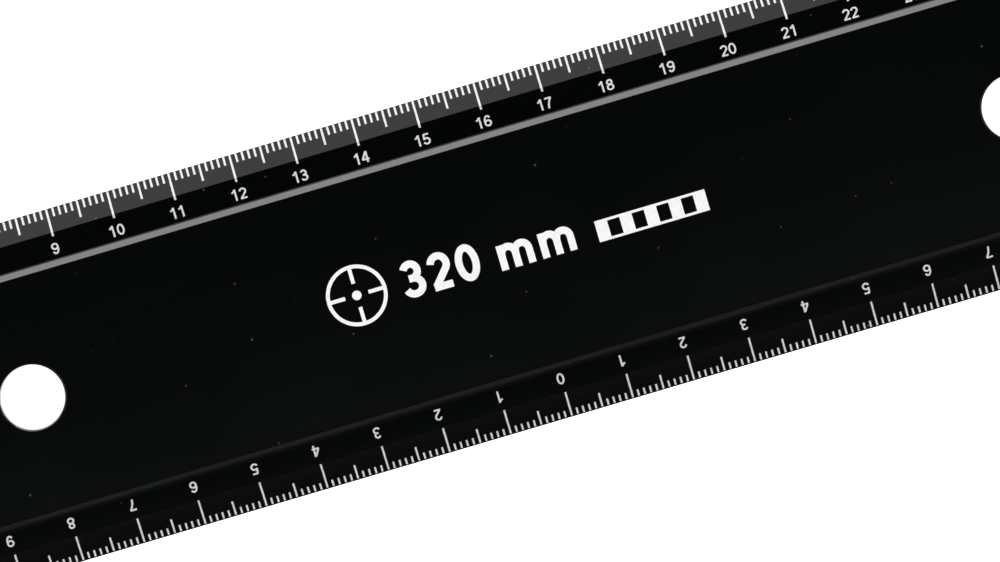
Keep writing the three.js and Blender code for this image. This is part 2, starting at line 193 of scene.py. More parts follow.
class Surface:
    """A procedural material: coordinates, noise, ramps and bumps wired into one Principled shader."""

    def __init__(self, name):
        self.material = bpy.data.materials.new(name)
        self.material.use_nodes = True
        self.tree = self.material.node_tree
        self.shader = self.tree.nodes["Principled BSDF"]

    def feed(self, socket, value):
        """Links a socket to another node's output, or sets it to a constant."""
        if isinstance(value, bpy.types.NodeSocket):
            self.tree.links.new(value, socket)
        elif socket.type == "RGBA":
            socket.default_value = (*value, 1)
        else:
            socket.default_value = value

    def set(self, name, value):
        """Feeds one input of the shader."""
        self.feed(self.shader.inputs[name], value)

    def node(self, kind, **inputs):
        """A new node with its inputs fed. An underscore in an input's name stands for a space."""
        node = self.tree.nodes.new(kind)
        for name, value in inputs.items():
            self.feed(node.inputs[name.replace("_", " ")], value)
        return node

    def coordinates(self, stretch=(1, 1, 1)):
        """Millimetres of the object's own space, stretched along each axis."""
        space = self.node("ShaderNodeTexCoord").outputs["Object"]
        scale = tuple(share / MM for share in stretch)
        return self.node("ShaderNodeMapping", Vector=space, Scale=scale).outputs["Vector"]

    def noise(self, vector, scale, detail, distortion=0.0):
        texture = self.node(
            "ShaderNodeTexNoise", Vector=vector, Scale=scale, Detail=detail, Distortion=distortion
        )
        return texture.outputs["Fac"]

    def ramp(self, value, *stops):
        """Maps a value to a colour or a grey through (position, colour) stops."""
        node = self.node("ShaderNodeValToRGB", Fac=value)
        elements = node.color_ramp.elements
        while len(elements) < len(stops):
            elements.new(1.0)
        for element, (position, colour) in zip(elements, stops):
            grey = (colour, colour, colour) if isinstance(colour, float) else colour
            element.position = position
            element.color = (*grey, 1)
        return node.outputs["Color"]

    def bump(self, height, strength, depth):
        """A normal from a height. The depth is in millimetres."""
        node = self.node("ShaderNodeBump", Height=height, Strength=strength, Distance=depth * MM)
        return node.outputs["Normal"]

    def multiply(self, first, second):
        node = self.node("ShaderNodeMath")
        node.operation = "MULTIPLY"
        for socket, value in zip(node.inputs, (first, second)):
            self.feed(socket, value)
        return node.outputs["Value"]

    def mix(self, factor, first, second):
        """Blends two colours, each of them a constant or an output."""
        node = self.node("ShaderNodeMix")
        node.data_type = "RGBA"
        self.feed(node.inputs["Factor"], factor)
        colours = [socket for socket in node.inputs if socket.type == "RGBA"]
        for socket, value in zip(colours, (first, second)):
            self.feed(socket, value)
        return next(socket for socket in node.outputs if socket.type == "RGBA")


# Painted shading across the blade, from the upper edge of the blade to the lower one: lighter towards the
# lower scale as a painted reflection, a painted highlight on the lower step, and painted shade at its foot
# and at the lower edge
PAINTED_SHADING_TONES = [
    (0.0, (0.0003, 0.0005, 0.0005)),
    (0.14, (0.0002, 0.0006, 0.0005)),
    (0.17, (0.0011, 0.0017, 0.0015)),
    (0.55, (0.0018, 0.0025, 0.0022)),
    (0.83, (0.0033, 0.0042, 0.0038)),
    (0.87, (0.0012, 0.0018, 0.0016)),
    (0.92, (0.0020, 0.0026, 0.0023)),
    (0.96, (0.0004, 0.0006, 0.0005)),
]
ANODISED_TINT = (0.0010, 0.0014, 0.0016)
DUST = (0.12, 0.125, 0.12)
DUST_DENSITY = 0.075  # cells in a millimetre, each with one speck


def dust_specks(surface, vector):
    """Scattered specks, each with a brightness of its own. Most of them are faint."""
    cells = surface.node("ShaderNodeTexVoronoi")
    cells.voronoi_dimensions = "2D"
    surface.feed(cells.inputs["Scale"], DUST_DENSITY)
    surface.feed(cells.inputs["Vector"], vector)
    spots = surface.ramp(cells.outputs["Distance"], (0.0, 1.0), (0.007, 1.0), (0.015, 0.0))
    brightness = surface.ramp(cells.outputs["Color"], (0.4, 0.05), (1.0, 1.0))
    return surface.multiply(spots, brightness)


def anodised_material():
    """Black anodised extrusion with specks of dust, and painted shading that makes it a little lighter
    towards the lower scale.
    """
    surface = Surface("black_anodised")
    plain = surface.coordinates()
    drawn = surface.coordinates((0.02, 1, 1))
    across = surface.node("ShaderNodeSeparateXYZ", Vector=plain).outputs["Y"]
    share = surface.node(
        "ShaderNodeMapRange", Value=across, From_Min=BLADE_HIGH.y / MM, From_Max=BLADE_LOW.y / MM
    )
    # Painted shading: the colour steps across the blade's bevels and steps in place of the light and shade
    # they would catch
    painted_shading = surface.ramp(share.outputs["Result"], *PAINTED_SHADING_TONES)
    clouds = surface.ramp(surface.noise(plain, 0.05, 4), (0.4, 0.0), (0.8, 0.5))
    cloudy = surface.mix(clouds, painted_shading, ANODISED_TINT)
    surface.set("Base Color", surface.mix(dust_specks(surface, plain), cloudy, DUST))
    surface.set("Roughness", surface.ramp(surface.noise(drawn, 2, 3), (0.3, 0.15), (0.7, 0.17)))
    surface.set("Normal", surface.bump(surface.noise(plain, 14, 2), strength=0.03, depth=0.01))
    return surface.material


def print_material(name, dark, light):
    """White screen print, slightly uneven."""
    surface = Surface(name)
    plain = surface.coordinates()
    surface.set("Base Color", surface.ramp(surface.noise(plain, 1.5, 4), (0.25, dark), (0.6, light)))
    surface.set("Roughness", 0.55)
    surface.set("Normal", surface.bump(surface.noise(plain, 20, 2), strength=0.1, depth=0.01))
    return surface.material


def wrinkle_paint(name, bare):
    """Black wrinkle paint on cast iron, with painted shade in the valleys of its wrinkles. Bare is the share
    of the surface that is worn to metal.
    """
    surface = Surface(name)
    plain = surface.coordinates()
    wrinkles = surface.noise(plain, 1.1, 2, distortion=1.4)
    ridges = surface.ramp(wrinkles, (0.38, 0.0), (0.5, 0.75), (0.62, 1.0))
    # Painted shade: the noise that raises the ridges also makes the valleys darker and the ridges lighter
    paint = surface.ramp(wrinkles, (0.35, (0.010, 0.011, 0.012)), (0.65, (0.026, 0.027, 0.029)))
    worn = surface.ramp(surface.noise(plain, 0.9, 5), (1 - bare, 0.0), (1.08 - bare, 1.0))
    surface.set("Base Color", surface.mix(worn, paint, (0.30, 0.29, 0.28)))
    surface.set("Metallic", worn)
    surface.set("Roughness", surface.ramp(surface.noise(plain, 2, 4), (0.3, 0.42), (0.7, 0.56)))
    surface.set("Normal", surface.bump(ridges, strength=0.55, depth=0.12))
    return surface.material


def metal_material(name, dark, light, smooth, rough, streaks):
    """Bare metal between two tones, with tool marks that are fine along each axis of streaks."""
    surface = Surface(name)
    plain = surface.coordinates()
    marks = surface.coordinates(streaks)
    surface.set("Base Color", surface.ramp(surface.noise(plain, 0.35, 5), (0.3, dark), (0.7, light)))
    surface.set("Metallic", 1.0)
    surface.set("Roughness", surface.ramp(surface.noise(marks, 3, 4), (0.3, smooth), (0.7, rough)))
    surface.set("Normal", surface.bump(surface.noise(marks, 7, 4), strength=0.2, depth=0.02))
    return surface.material


def clear_material(name, tint, deep_tint, ior):
    """Glass or spirit, with a faint unevenness in tint and polish."""
    surface = Surface(name)
    plain = surface.coordinates()
    surface.set("Base Color", surface.ramp(surface.noise(plain, 0.4, 2), (0.3, tint), (0.7, deep_tint)))
    surface.set("Roughness", surface.ramp(surface.noise(plain, 3, 2), (0.3, 0.0), (0.8, 0.04)))
    surface.set("IOR", ior)
    surface.set("Transmission Weight", 1.0)
    return surface.material


def enamel_material(name, dark, light):
    """Brushed-on enamel: black for the lines around the vial, white inside its pocket."""
    surface = Surface(name)
    plain = surface.coordinates()
    surface.set("Base Color", surface.ramp(surface.noise(plain, 4, 2), (0.3, dark), (0.7, light)))
    surface.set("Roughness", surface.ramp(surface.noise(plain, 6, 2), (0.3, 0.25), (0.7, 0.4)))
    return surface.material


# ---------------------------------------------------------------------------------------------
# Meshes
# ---------------------------------------------------------------------------------------------

SAME_POINT = 1e-6  # metres between points that a copied solid takes as one
WELD = 2e-6  # metres within which the points of a rounded arris become one
EVEN = 1e-8  # square metres by which the diagonals of an even face may differ


def add_piece(name, mesh, body, material):
    piece = bpy.data.objects.new(name, mesh)
    bpy.context.scene.collection.objects.link(piece)
    mesh.materials.append(material)
    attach(piece, body)
    return piece


def refined_copy(node, name):
    """The CAD node's own shape as a new mesh of whole flat faces."""
    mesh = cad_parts[node].data.copy()
    mesh.name = name
    mesh.materials.clear()
    build = bmesh.new()
    build.from_mesh(mesh)
    bmesh.ops.remove_doubles(build, verts=build.verts, dist=SAME_POINT)
    bmesh.ops.dissolve_limit(build, angle_limit=math.radians(0.5), verts=build.verts, edges=build.edges)
    for face in build.faces:
        face.smooth = True
    build.to_mesh(mesh)
    build.free()
    return mesh


def round_arrises(piece, width, sharper_than, material=-1):
    """Rounds the arrises sharper than an angle in degrees, and keeps the flat faces flat."""
    bevel = piece.modifiers.new("arris", "BEVEL")
    bevel.width = width * MM
    bevel.segments = 2
    bevel.limit_method = "ANGLE"
    bevel.angle_limit = math.radians(sharper_than)
    bevel.material = material
    weld = piece.modifiers.new("weld", "WELD")
    weld.merge_threshold = WELD
    even = piece.modifiers.new("flat_faces", "WEIGHTED_NORMAL")
    even.keep_sharp = True
    even.weight = 100


def finish_mesh(build, name):
    """A mesh from what was built, with its faces turned outwards."""
    loose = [v for v in build.verts if not v.link_faces]
    bmesh.ops.delete(build, geom=loose, context="VERTS")
    bmesh.ops.recalc_face_normals(build, faces=build.faces)
    mesh = bpy.data.meshes.new(name)
    build.to_mesh(mesh)
    build.free()
    return mesh


def shade(mesh, sharp_degrees=28):
    mesh.shade_smooth()
    mesh.set_sharp_from_angle(angle=math.radians(sharp_degrees))
    return mesh


def add_ring(build, centre, axis, radii, sides):
    """Points around an axis. The radii, in millimetres, are taken in turn; a zero gives one point."""
    if radii == (0,):
        return [build.verts.new(centre)]
    side = axis.orthogonal().normalized()
    third = axis.cross(side)
    ring = []
    for i in range(sides):
        angle = 2 * math.pi * i / sides
        away = side * math.cos(angle) + third * math.sin(angle)
        ring.append(build.verts.new(centre + away * radii[i % len(radii)] * MM))
    return ring


def bridge(build, first, second, axis_point):
    """Faces between two rings. Uneven rings get triangles that keep the low points joined."""
    count = max(len(first), len(second))
    for i in range(count):
        j = (i + 1) % count
        a, b = (first[i], first[j]) if len(first) > 1 else (first[0], None)
        d, c = (second[i], second[j]) if len(second) > 1 else (second[0], None)
        if b is None or c is None:
            build.faces.new([v for v in (a, b, c, d) if v is not None])
            continue
        reach = [(v.co - axis_point).length_squared for v in (a, c, b, d)]
        if abs(reach[0] + reach[1] - reach[2] - reach[3]) < EVEN:
            build.faces.new((a, b, c, d))
        elif reach[0] + reach[1] < reach[2] + reach[3]:
            build.faces.new((a, b, c))
            build.faces.new((a, c, d))
        else:
            build.faces.new((a, b, d))
            build.faces.new((b, c, d))


def turned(build, profile, start, axis, sides=64, ring_shaped=False):
    """A solid of revolution. Its profile is (radius, distance from the start) in millimetres.

    A radius may be a tuple that the points of the ring take in turn. The profile begins and ends on
    the axis, or closes on itself when the solid is ring-shaped.
    """
    rings = []
    for radius, along in profile:
        radii = radius if isinstance(radius, tuple) else (radius,)
        rings.append(add_ring(build, start + axis * along * MM, axis, radii, sides))
    pairs = list(zip(rings, rings[1:]))
    if ring_shaped:
        pairs.append((rings[-1], rings[0]))
    for first, second in pairs:
        between = sum((v.co for v in first + second), Vector()) / (len(first) + len(second))
        bridge(build, first, second, between)


def turned_piece(name, profile, start, axis, body, material, sides=64, ring_shaped=False):
    build = bmesh.new()
    turned(build, profile, start, axis, sides, ring_shaped)
    return add_piece(name, shade(finish_mesh(build, name)), body, material)


def plug_profile(radius, length, chamfer):
    """A solid cylinder with chamfered rims."""
    return [
        (0, 0), (radius - chamfer, 0), (radius, chamfer),
        (radius, length - chamfer), (radius - chamfer, length), (0, length),
    ]


def tube_profile(bore, radius, length, chamfer):
    """A tube with all four rims chamfered, as a profile that closes on itself."""
    return [
        (bore + chamfer, 0), (radius - chamfer, 0), (radius, chamfer), (radius, length - chamfer),
        (radius - chamfer, length), (bore + chamfer, length), (bore, length - chamfer), (bore, chamfer),
    ]


def knurl(radius, depth, start, end, pitch):
    """Rows of a diamond knurl between two places of a turned profile."""
    rows = round((end - start) / (pitch / 2))
    step = (end - start) / rows
    low_first, high_first = (radius - depth, radius), (radius, radius - depth)
    return [(high_first if i % 2 else low_first, start + step * i) for i in range(rows + 1)]


def thread_rows(major, minor, pitch, start, end, sides):
    """Rows of a screw thread: each ring's radii rise and fall once, and turn with the pitch."""
    per_pitch = 8
    rows = []
    for row in range(round((end - start) / pitch * per_pitch) + 1):
        along = start + row * pitch / per_pitch
        shares = [(along / pitch + i / sides) % 1 for i in range(sides)]
        heights = [1 - abs(2 * share - 1) for share in shares]
        rows.append((tuple(minor + (major - minor) * h for h in heights), along))
    return rows


# ---------------------------------------------------------------------------------------------
# Printed strokes
# ---------------------------------------------------------------------------------------------

STROKE = 0.15  # stroke of a number, as a share of its height
ADVANCE = 0.67  # from one digit to the next
DIGIT_WIDTH = 0.62
DIGIT_STRETCH = 1.1
SAME_END = 1e-6  # a path whose ends are nearer than this is a closed one
SHARPEST_MITRE = 0.5  # cosine of half a bend, below which the mitre grows no longer


def arc(cx, cy, rx, ry, start, end, steps=14):
    """Points on an ellipse from one angle to another, in degrees."""
    angles = [math.radians(start + (end - start) * i / steps) for i in range(steps + 1)]
    return [(cx + rx * math.cos(a), cy + ry * math.sin(a)) for a in angles]


def turned_over(paths):
    return [[(DIGIT_WIDTH - x, 1 - y) for x, y in path] for path in paths]


SIX = [
    arc(0.315, 0.31, 0.225, 0.23, 0, 360, 24),
    arc(0.33, 0.47, 0.24, 0.45, 190, 38),
]

# The middle line of each stroke, in a cell as high as the character
GLYPHS = {
    "0": [arc(0.31, 0.5, 0.23, 0.42, 0, 360, 28)],
    "1": [[(0.37, 0), (0.37, 1)], [(0.10, 0.72), (0.24, 0.80), (0.35, 0.95)]],
    "2": [arc(0.31, 0.69, 0.22, 0.23, 170, -38) + [(0.10, 0.10)], [(0.04, 0.08), (0.57, 0.08)]],
    "3": [
        arc(0.295, 0.72, 0.195, 0.20, 160, -90),
        arc(0.295, 0.30, 0.23, 0.22, 90, -162),
        [(0.20, 0.52), (0.32, 0.52)],
    ],
    "4": [[(0.43, 0), (0.43, 1)], [(0.40, 0.96), (0.06, 0.33)], [(0.02, 0.30), (0.60, 0.30)]],
    "5": [
        [(0.14, 0.92), (0.55, 0.92)],
        [(0.165, 0.95), (0.115, 0.46)],
        arc(0.30, 0.325, 0.24, 0.245, 145, -162),
    ],
    "6": SIX,
    "7": [[(0.05, 0.92), (0.575, 0.92)], [(0.54, 0.90), (0.40, 0.68), (0.29, 0.40), (0.23, 0)]],
    "8": [
        arc(0.31, 0.73, 0.19, 0.19, 0, 360, 22),
        arc(0.31, 0.295, 0.225, 0.215, 0, 360, 22),
    ],
    "9": turned_over(SIX),
    "m": [
        [(0.09, 0), (0.09, 0.70)],
        [(0.09, 0.40)] + arc(0.285, 0.42, 0.195, 0.20, 150, 0, 10) + [(0.48, 0)],
        [(0.48, 0.40)] + arc(0.675, 0.42, 0.195, 0.20, 150, 0, 10) + [(0.87, 0)],
    ],
}


def ribbon(path, width):
    """Quads along a path, as wide as the stroke, mitred at each bend."""
    closed = math.dist(path[0], path[-1]) < SAME_END
    points = [Vector(p) for p in (path[:-1] if closed else path)]
    following = points[1:] + points[:1] if closed else points[1:]
    ways = [(b - a).normalized() for a, b in zip(points, following)]
    sides = []
    for i, point in enumerate(points):
        arriving = ways[i - 1] if closed or i else ways[0]
        leaving = ways[i] if i < len(ways) else ways[-1]
        along = (arriving + leaving).normalized()
        across = Vector((-along.y, along.x))
        reach = across * width / 2 / max(along.dot(arriving), SHARPEST_MITRE)
        sides.append((point + reach, point - reach))
    pairs = list(zip(sides, sides[1:]))
    if closed:
        pairs.append((sides[-1], sides[0]))
    return [[a[0], a[1], b[1], b[0]] for a, b in pairs]


def union(polygons):
    """One flat, triangulated outline that covers all the polygons."""
    points = [point for polygon in polygons for point in polygon]
    faces, start = [], 0
    for polygon in polygons:
        faces.append(list(range(start, start + len(polygon))))
        start += len(polygon)
    flat, _, triangles, _, _, covered = delaunay_2d_cdt(points, [], faces, 0, SAME_END)
    return {"points": flat, "triangles": [t for t, owners in zip(triangles, covered) if owners]}


def stroke_glyph(paths, width):
    return union([quad for path in paths for quad in ribbon(path, width)])


def add_relief(build, shape, transform, low, high):
    """A closed slab of one outline. The transform takes its flat points to the blade's X and Y."""
    placed = [transform @ Vector((p[0], p[1], 0)) for p in shape["points"]]
    bottom = [build.verts.new(place(p.x, p.y, low)) for p in placed]
    top = [build.verts.new(place(p.x, p.y, high)) for p in placed]
    sides = []
    for a, b, c in shape["triangles"]:
        build.faces.new((top[a], top[b], top[c]))
        build.faces.new((bottom[c], bottom[b], bottom[a]))
        sides += [(a, b), (b, c), (c, a)]
    shared = set(sides)
    for a, b in sides:
        if (b, a) not in shared:
            build.faces.new((top[b], top[a], bottom[a], bottom[b]))


# ---------------------------------------------------------------------------------------------
# Blade and its print
# ---------------------------------------------------------------------------------------------

EDGES = {
    "upper": {"side": 1, "bevel": 3.85},
    "lower": {"side": -1, "bevel": 4.2},
}
INK = 0.015  # how far the print stands proud
SUNK = 0.01  # how far it reaches into the metal

# Ticks: line width, shift along the blade, where they start from the edge, and where each size ends
UPPER_TICKS = {"width": 0.34, "shift": 0.05, "start": 0.05, 1: 1.45, 5: 2.78, 10: 4.43}
LOWER_TICKS = {"width": 0.31, "shift": 0.12, "start": 0.2, 1: 1.2, 5: 2.4, 10: 4.05}
NUMBER_HEIGHT = 1.8
UPPER_NUMBER_SHIFT = -0.15
UPPER_NUMBER_FOOT = 7.3  # from the edge to the side of the numbers that is nearer the middle
LOWER_NUMBER_FOOT = 5.36
CENTRE_ZERO = BLADE_LENGTH / 2

MARK_CENTRE = (133.1, 0.5)
MARK_RING = {"radius": 4.55, "line": 0.6, "open": 1.9, "dot": 0.75}
SIZE_TEXT = {"start": 140.5, "foot": -2.35, "height": 5.7, "stroke": 0.2}
SIZE_WIDTHS = {"3": 0.78, "2": 0.78, "0": 0.88, " ": 0.3, "m": 1.18}
SCALE_BAR = {"start": 172.0, "foot": -2.35, "height": 3.4, "rail": 0.4, "block": 2.0, "blocks": 9}


def front_height(edge, inwards):
    """Height of the blade's front on the bevel or the strip, at a distance from the edge."""
    share = min(inwards / edge["bevel"], 1)
    edge_top = BLADE_BACK + EDGE_THICKNESS
    return edge_top + share * (STRIP_TOP - edge_top)


def add_tick(build, edge, ticks, x, size):
    """A printed line across an edge, following the bevel and the strip."""
    start, end = ticks["start"], ticks[size]
    half = ticks["width"] / 2
    x += ticks["shift"]
    stops = [start] + [edge["bevel"]] * (start < edge["bevel"] < end) + [end]
    rings = []
    for inwards in stops:
        y = edge["side"] * (BLADE_HALF_WIDTH - inwards)
        z = front_height(edge, inwards)
        corners = ((-half, -SUNK), (half, -SUNK), (half, INK), (-half, INK))
        rings.append([build.verts.new(place(x + dx, y, z + dz)) for dx, dz in corners])
    for first, second in zip(rings, rings[1:]):
        for i in range(4):
            j = (i + 1) % 4
            build.faces.new((first[i], first[j], second[j], second[i]))
    build.faces.new(rings[0])
    build.faces.new(reversed(rings[-1]))


def tick_size(step):
    return next(size for size in (10, 5, 1) if step % size == 0)


def make_ticks(material):
    build = bmesh.new()
    for step in range(1, round(BLADE_LENGTH)):
        add_tick(build, EDGES["upper"], UPPER_TICKS, step, tick_size(step))
        add_tick(build, EDGES["lower"], LOWER_TICKS, step, tick_size(step - round(CENTRE_ZERO)))
    add_piece("scale_lines", finish_mesh(build, "scale_lines"), "blade", material)


def add_number(build, glyphs, text, x, y, upright):
    """Digits centred on x. Their feet are at y, or, upside down, their feet point away."""
    width = (len(text) - 1) * ADVANCE + DIGIT_WIDTH
    turn = Matrix.Rotation(0 if upright else math.pi, 4, "Z")
    size = Matrix.Diagonal((NUMBER_HEIGHT * DIGIT_STRETCH, NUMBER_HEIGHT, 1, 1))
    for i, digit in enumerate(text):
        offset = Matrix.Translation((i * ADVANCE - width / 2, 0, 0))
        transform = Matrix.Translation((x, y, 0)) @ turn @ size @ offset
        add_relief(build, glyphs[digit], transform, STRIP_TOP - SUNK, STRIP_TOP + INK)


def make_numbers(material):
    glyphs = {digit: stroke_glyph(GLYPHS[digit], STROKE) for digit in "0123456789"}
    build = bmesh.new()
    upper_y = BLADE_HALF_WIDTH - UPPER_NUMBER_FOOT
    lower_y = LOWER_NUMBER_FOOT + NUMBER_HEIGHT - BLADE_HALF_WIDTH
    for centimetre in range(1, round(BLADE_LENGTH / 10)):
        from_centre = abs(centimetre - round(CENTRE_ZERO / 10))
        upper_x = centimetre * 10 + UPPER_NUMBER_SHIFT
        add_number(build, glyphs, str(centimetre), upper_x, upper_y, True)
        add_number(build, glyphs, str(from_centre), centimetre * 10, lower_y, False)
    mesh = finish_mesh(build, "scale_numbers")
    add_piece("scale_numbers", mesh, "blade", material)


def rectangle(x0, y0, x1, y1):
    return [Vector(corner) for corner in ((x0, y0), (x1, y0), (x1, y1), (x0, y1))]


def centre_icon():
    """A plain ring round a cross with an open middle and a dot: the sign of a centre."""
    radius, line, open_radius, dot = (MARK_RING[key] for key in ("radius", "line", "open", "dot"))
    ring = ribbon(arc(0, 0, radius, radius, 0, 360, 64), line)
    arms = [
        quad
        for x, y in ((1, 0), (0, 1), (-1, 0), (0, -1))
        for quad in ribbon([(x * open_radius, y * open_radius), (x * radius, y * radius)], line)
    ]
    spot = [Vector(p) for p in arc(0, 0, dot, dot, 0, 360, 24)[:-1]]
    return union(ring + arms + [spot])


def scale_bar():
    """A bar of equal blocks and gaps between two rails, as on a map."""
    height, rail, block, count = (SCALE_BAR[key] for key in ("height", "rail", "block", "blocks"))
    blocks = [rectangle(i * block, 0, (i + 1) * block, height) for i in range(0, count, 2)]
    length = count * block
    rails = [rectangle(0, 0, length, rail), rectangle(0, height - rail, length, height)]
    return union(blocks + rails)


def make_mark(material):
    """The printed mark in the middle of the blade: an icon, the length and a scale bar."""
    build = bmesh.new()
    low, high = MIDDLE_TOP - SUNK, MIDDLE_TOP + INK
    add_relief(build, centre_icon(), Matrix.Translation((*MARK_CENTRE, 0)), low, high)
    x, foot, height = (SIZE_TEXT[key] for key in ("start", "foot", "height"))
    for character in "320 mm":
        if character in GLYPHS:
            shape = stroke_glyph(GLYPHS[character], SIZE_TEXT["stroke"])
            transform = Matrix.Translation((x, foot, 0)) @ Matrix.Scale(height, 4)
            add_relief(build, shape, transform, low, high)
        x += SIZE_WIDTHS[character] * height
    corner = Matrix.Translation((SCALE_BAR["start"], SCALE_BAR["foot"], 0))
    add_relief(build, scale_bar(), corner, low, high)
    mesh = finish_mesh(build, "printed_mark")
    add_piece("printed_mark", mesh, "blade", material)


def make_blade(material):
    mesh = refined_copy("blade", "blade_finish")
    blade = add_piece("blade_finish", mesh, "blade", material)
    round_arrises(blade, width=0.04, sharper_than=15)
    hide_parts("blade")


# ---------------------------------------------------------------------------------------------
# Square head
# ---------------------------------------------------------------------------------------------

# Reaches within which a face of the casting belongs to one of its features
NEAR = 0.05 * MM  # of the casting's own outer faces
SLOT_REACH = 0.4 * MM  # past the blade's front and back
SEAT_REACH = 1.5 * MM  # past the blade's lower edge
BORE_REACH = 5 * MM  # from the bolt's axis
POCKET_REACH = 1 * MM  # past the vial's two plugs
POCKET_RIM = 2 * MM  # below the head's front

PAINTED_FACE, GROUND_FACE, WORN_ARRIS, POCKET_FACE = range(4)  # the head's material slots


def is_reference_face(centre, normal, low, mitre_reach):
    square_face = normal.x < -0.99 and centre.x < low.x + NEAR
    mitre_face = normal.x > 0.7 and normal.y < -0.7 and centre.x - centre.y > mitre_reach - NEAR
    return square_face or mitre_face


def is_slot_or_bore(centre, low, high):
    level = BLADE_LOW.z - SLOT_REACH < centre.z < BLADE_HIGH.z + SLOT_REACH
    inside = low.x + NEAR < centre.x < high.x - NEAR
    nut = middle_of("lock_nut")
    near_bolt = math.hypot(centre.x - nut.x, centre.z - nut.z) < BORE_REACH
    above_washer = centre.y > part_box("lock_washer")[1].y + MM
    return (level and inside and centre.y > BLADE_LOW.y - SEAT_REACH) or (near_bolt and above_washer)


def is_pocket(centre, high):
    vial_low, vial_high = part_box("vial_cap_left")[0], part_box("vial_cap_right")[1]
    over_vial = all(
        vial_low[i] - POCKET_REACH < centre[i] < vial_high[i] + POCKET_REACH for i in (X_AXIS, Y_AXIS)
    )
    return over_vial and centre.z < high.z - POCKET_RIM


def make_head(paint, ground, worn, pocket):
    """The casting: painted, with ground reference faces, worn arrises and the vial's white pocket."""
    mesh = refined_copy("head_casting", "head_finish")
    head = add_piece("head_finish", mesh, "head", paint)
    for material in (ground, worn, pocket):
        mesh.materials.append(material)
    low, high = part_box("head_casting")
    mitre_reach = max(v.co.x - v.co.y for v in mesh.vertices)
    for face in mesh.polygons:
        face.material_index = PAINTED_FACE
        if is_pocket(face.center, high):
            face.material_index = POCKET_FACE
        if is_reference_face(face.center, face.normal, low, mitre_reach):
            face.material_index = GROUND_FACE
        if is_slot_or_bore(face.center, low, high):
            face.material_index = GROUND_FACE
    round_arrises(head, width=0.45, sharper_than=30, material=WORN_ARRIS)
    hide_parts("head_casting")


# ---------------------------------------------------------------------------------------------
# Lock
# ---------------------------------------------------------------------------------------------

LOCK_BORE = 2.8  # of the nut and the washer, around the 5 mm bolt
NUT_KNURL = {"depth": 0.4, "start": 2.5, "pitch": 1.2}
THREAD = {"major": 2.68, "minor": 2.35, "pitch": 0.8, "start": 0.6, "end": 12.0, "sides": 32}
THREAD_CONE = 0.1  # height of the cone that closes each end of the thread
WIRE = {"radius": 0.45, "turns": 3, "steps": 40, "sides": 12}  # steps are those of one turn


def make_nut(steel):
    """Diamond-knurled nut with a plain collar towards the washer."""
    radius, length = radius_and_length("lock_nut", Y_AXIS)
    root = radius - NUT_KNURL["depth"]
    profile = [
        (LOCK_BORE + 0.3, 0), (radius - 1.3, 0), (radius - 1, 0.3), (radius - 1, 1.1),
        (radius - 1.4, 1.4), (radius - 1.4, 1.7), (root, 2.1),
        *knurl(radius, end=length - 1, **NUT_KNURL),
        (root, length - 0.8), (radius - 1, length - 0.3), (radius - 1.9, length),
        (LOCK_BORE + 0.3, length), (LOCK_BORE, length - 0.3), (LOCK_BORE, 0.3),
    ]
    nut = turned_piece(
        "lock_nut_grip", profile, upper_end("lock_nut"), DOWN, "lock_nut", steel,
        sides=80, ring_shaped=True,
    )
    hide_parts("lock_nut")


def make_washer(steel):
    profile = tube_profile(LOCK_BORE, *radius_and_length("lock_washer", Y_AXIS), chamfer=0.2)
    washer = turned_piece(
        "lock_washer_finish", profile, upper_end("lock_washer"), DOWN, "head", steel,
        sides=96, ring_shaped=True,
    )
    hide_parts("lock_washer")


def make_bolt(steel):
    """The CAD's hooked bolt with eased arrises, and a real thread around its lower end."""
    mesh = refined_copy("lock_bolt", "lock_bolt_finish")
    bolt = add_piece("lock_bolt_finish", mesh, "lock_bolt", steel)
    round_arrises(bolt, width=0.15, sharper_than=30)
    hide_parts("lock_bolt")
    tip = Vector((middle_of("lock_bolt").x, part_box("lock_bolt")[0].y, middle_of("lock_nut").z))
    profile = [
        (0, THREAD["start"] - THREAD_CONE),
        *thread_rows(**THREAD),
        (0, THREAD["end"] + THREAD_CONE),
    ]
    turned_piece(
        "lock_bolt_thread", profile, tip, -DOWN, "lock_bolt", steel, sides=THREAD["sides"]
    )


def make_spring(wire_steel):
    """Turns of round wire on the bolt's axis."""
    low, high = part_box("lock_spring")
    wire = WIRE["radius"] * MM
    coil_radius = (high.x - low.x) / 2 - wire
    start, end = low.y + wire, high.y - wire
    axis = Vector((middle_of("lock_spring").x, 0, middle_of("lock_nut").z))
    steps, sides = WIRE["turns"] * WIRE["steps"], WIRE["sides"]
    build = bmesh.new()
    rings = []
    for i in range(steps + 1):
        angle = 2 * math.pi * i / WIRE["steps"]
        outward = Vector((math.cos(angle), 0, math.sin(angle)))
        centre = axis + outward * coil_radius
        centre.y = start + (end - start) * i / steps
        ring = []
        for j in range(sides):
            turn = 2 * math.pi * j / sides
            away = outward * math.cos(turn) + DOWN * math.sin(turn)
            ring.append(build.verts.new(centre + away * wire))
        rings.append(ring)
    for first, second in zip(rings, rings[1:]):
        for j in range(sides):
            k = (j + 1) % sides
            build.faces.new((first[j], first[k], second[k], second[j]))
    build.faces.new(rings[0])
    build.faces.new(rings[-1])
    mesh = shade(finish_mesh(build, "lock_spring_wire"), sharp_degrees=50)
    spring = add_piece("lock_spring_wire", mesh, "head", wire_steel)
    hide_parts("lock_spring")


# ---------------------------------------------------------------------------------------------
# Scriber
# ---------------------------------------------------------------------------------------------

KNOB_KNURL = {"depth": 0.36, "start": 2.1, "pitch": 1.0}
KNOB_BORE = {"radius": 1.25, "depth": 4.8}
BUSH_BORE = 1.5


def make_needle(steel):
    """A rod with a long ground point at its upper end, inside the head."""
    radius, length = radius_and_length("scriber_needle", Y_AXIS)
    profile = [(0, 0), (0.12, 0.15), (radius - 0.08, 5.8), (radius, 6.2), (radius, length - 0.1), (0, length)]
    needle = turned_piece(
        "scriber_needle_finish", profile, upper_end("scriber_needle"), DOWN,
        "scriber", steel, sides=40,
    )
    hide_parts("scriber_needle")


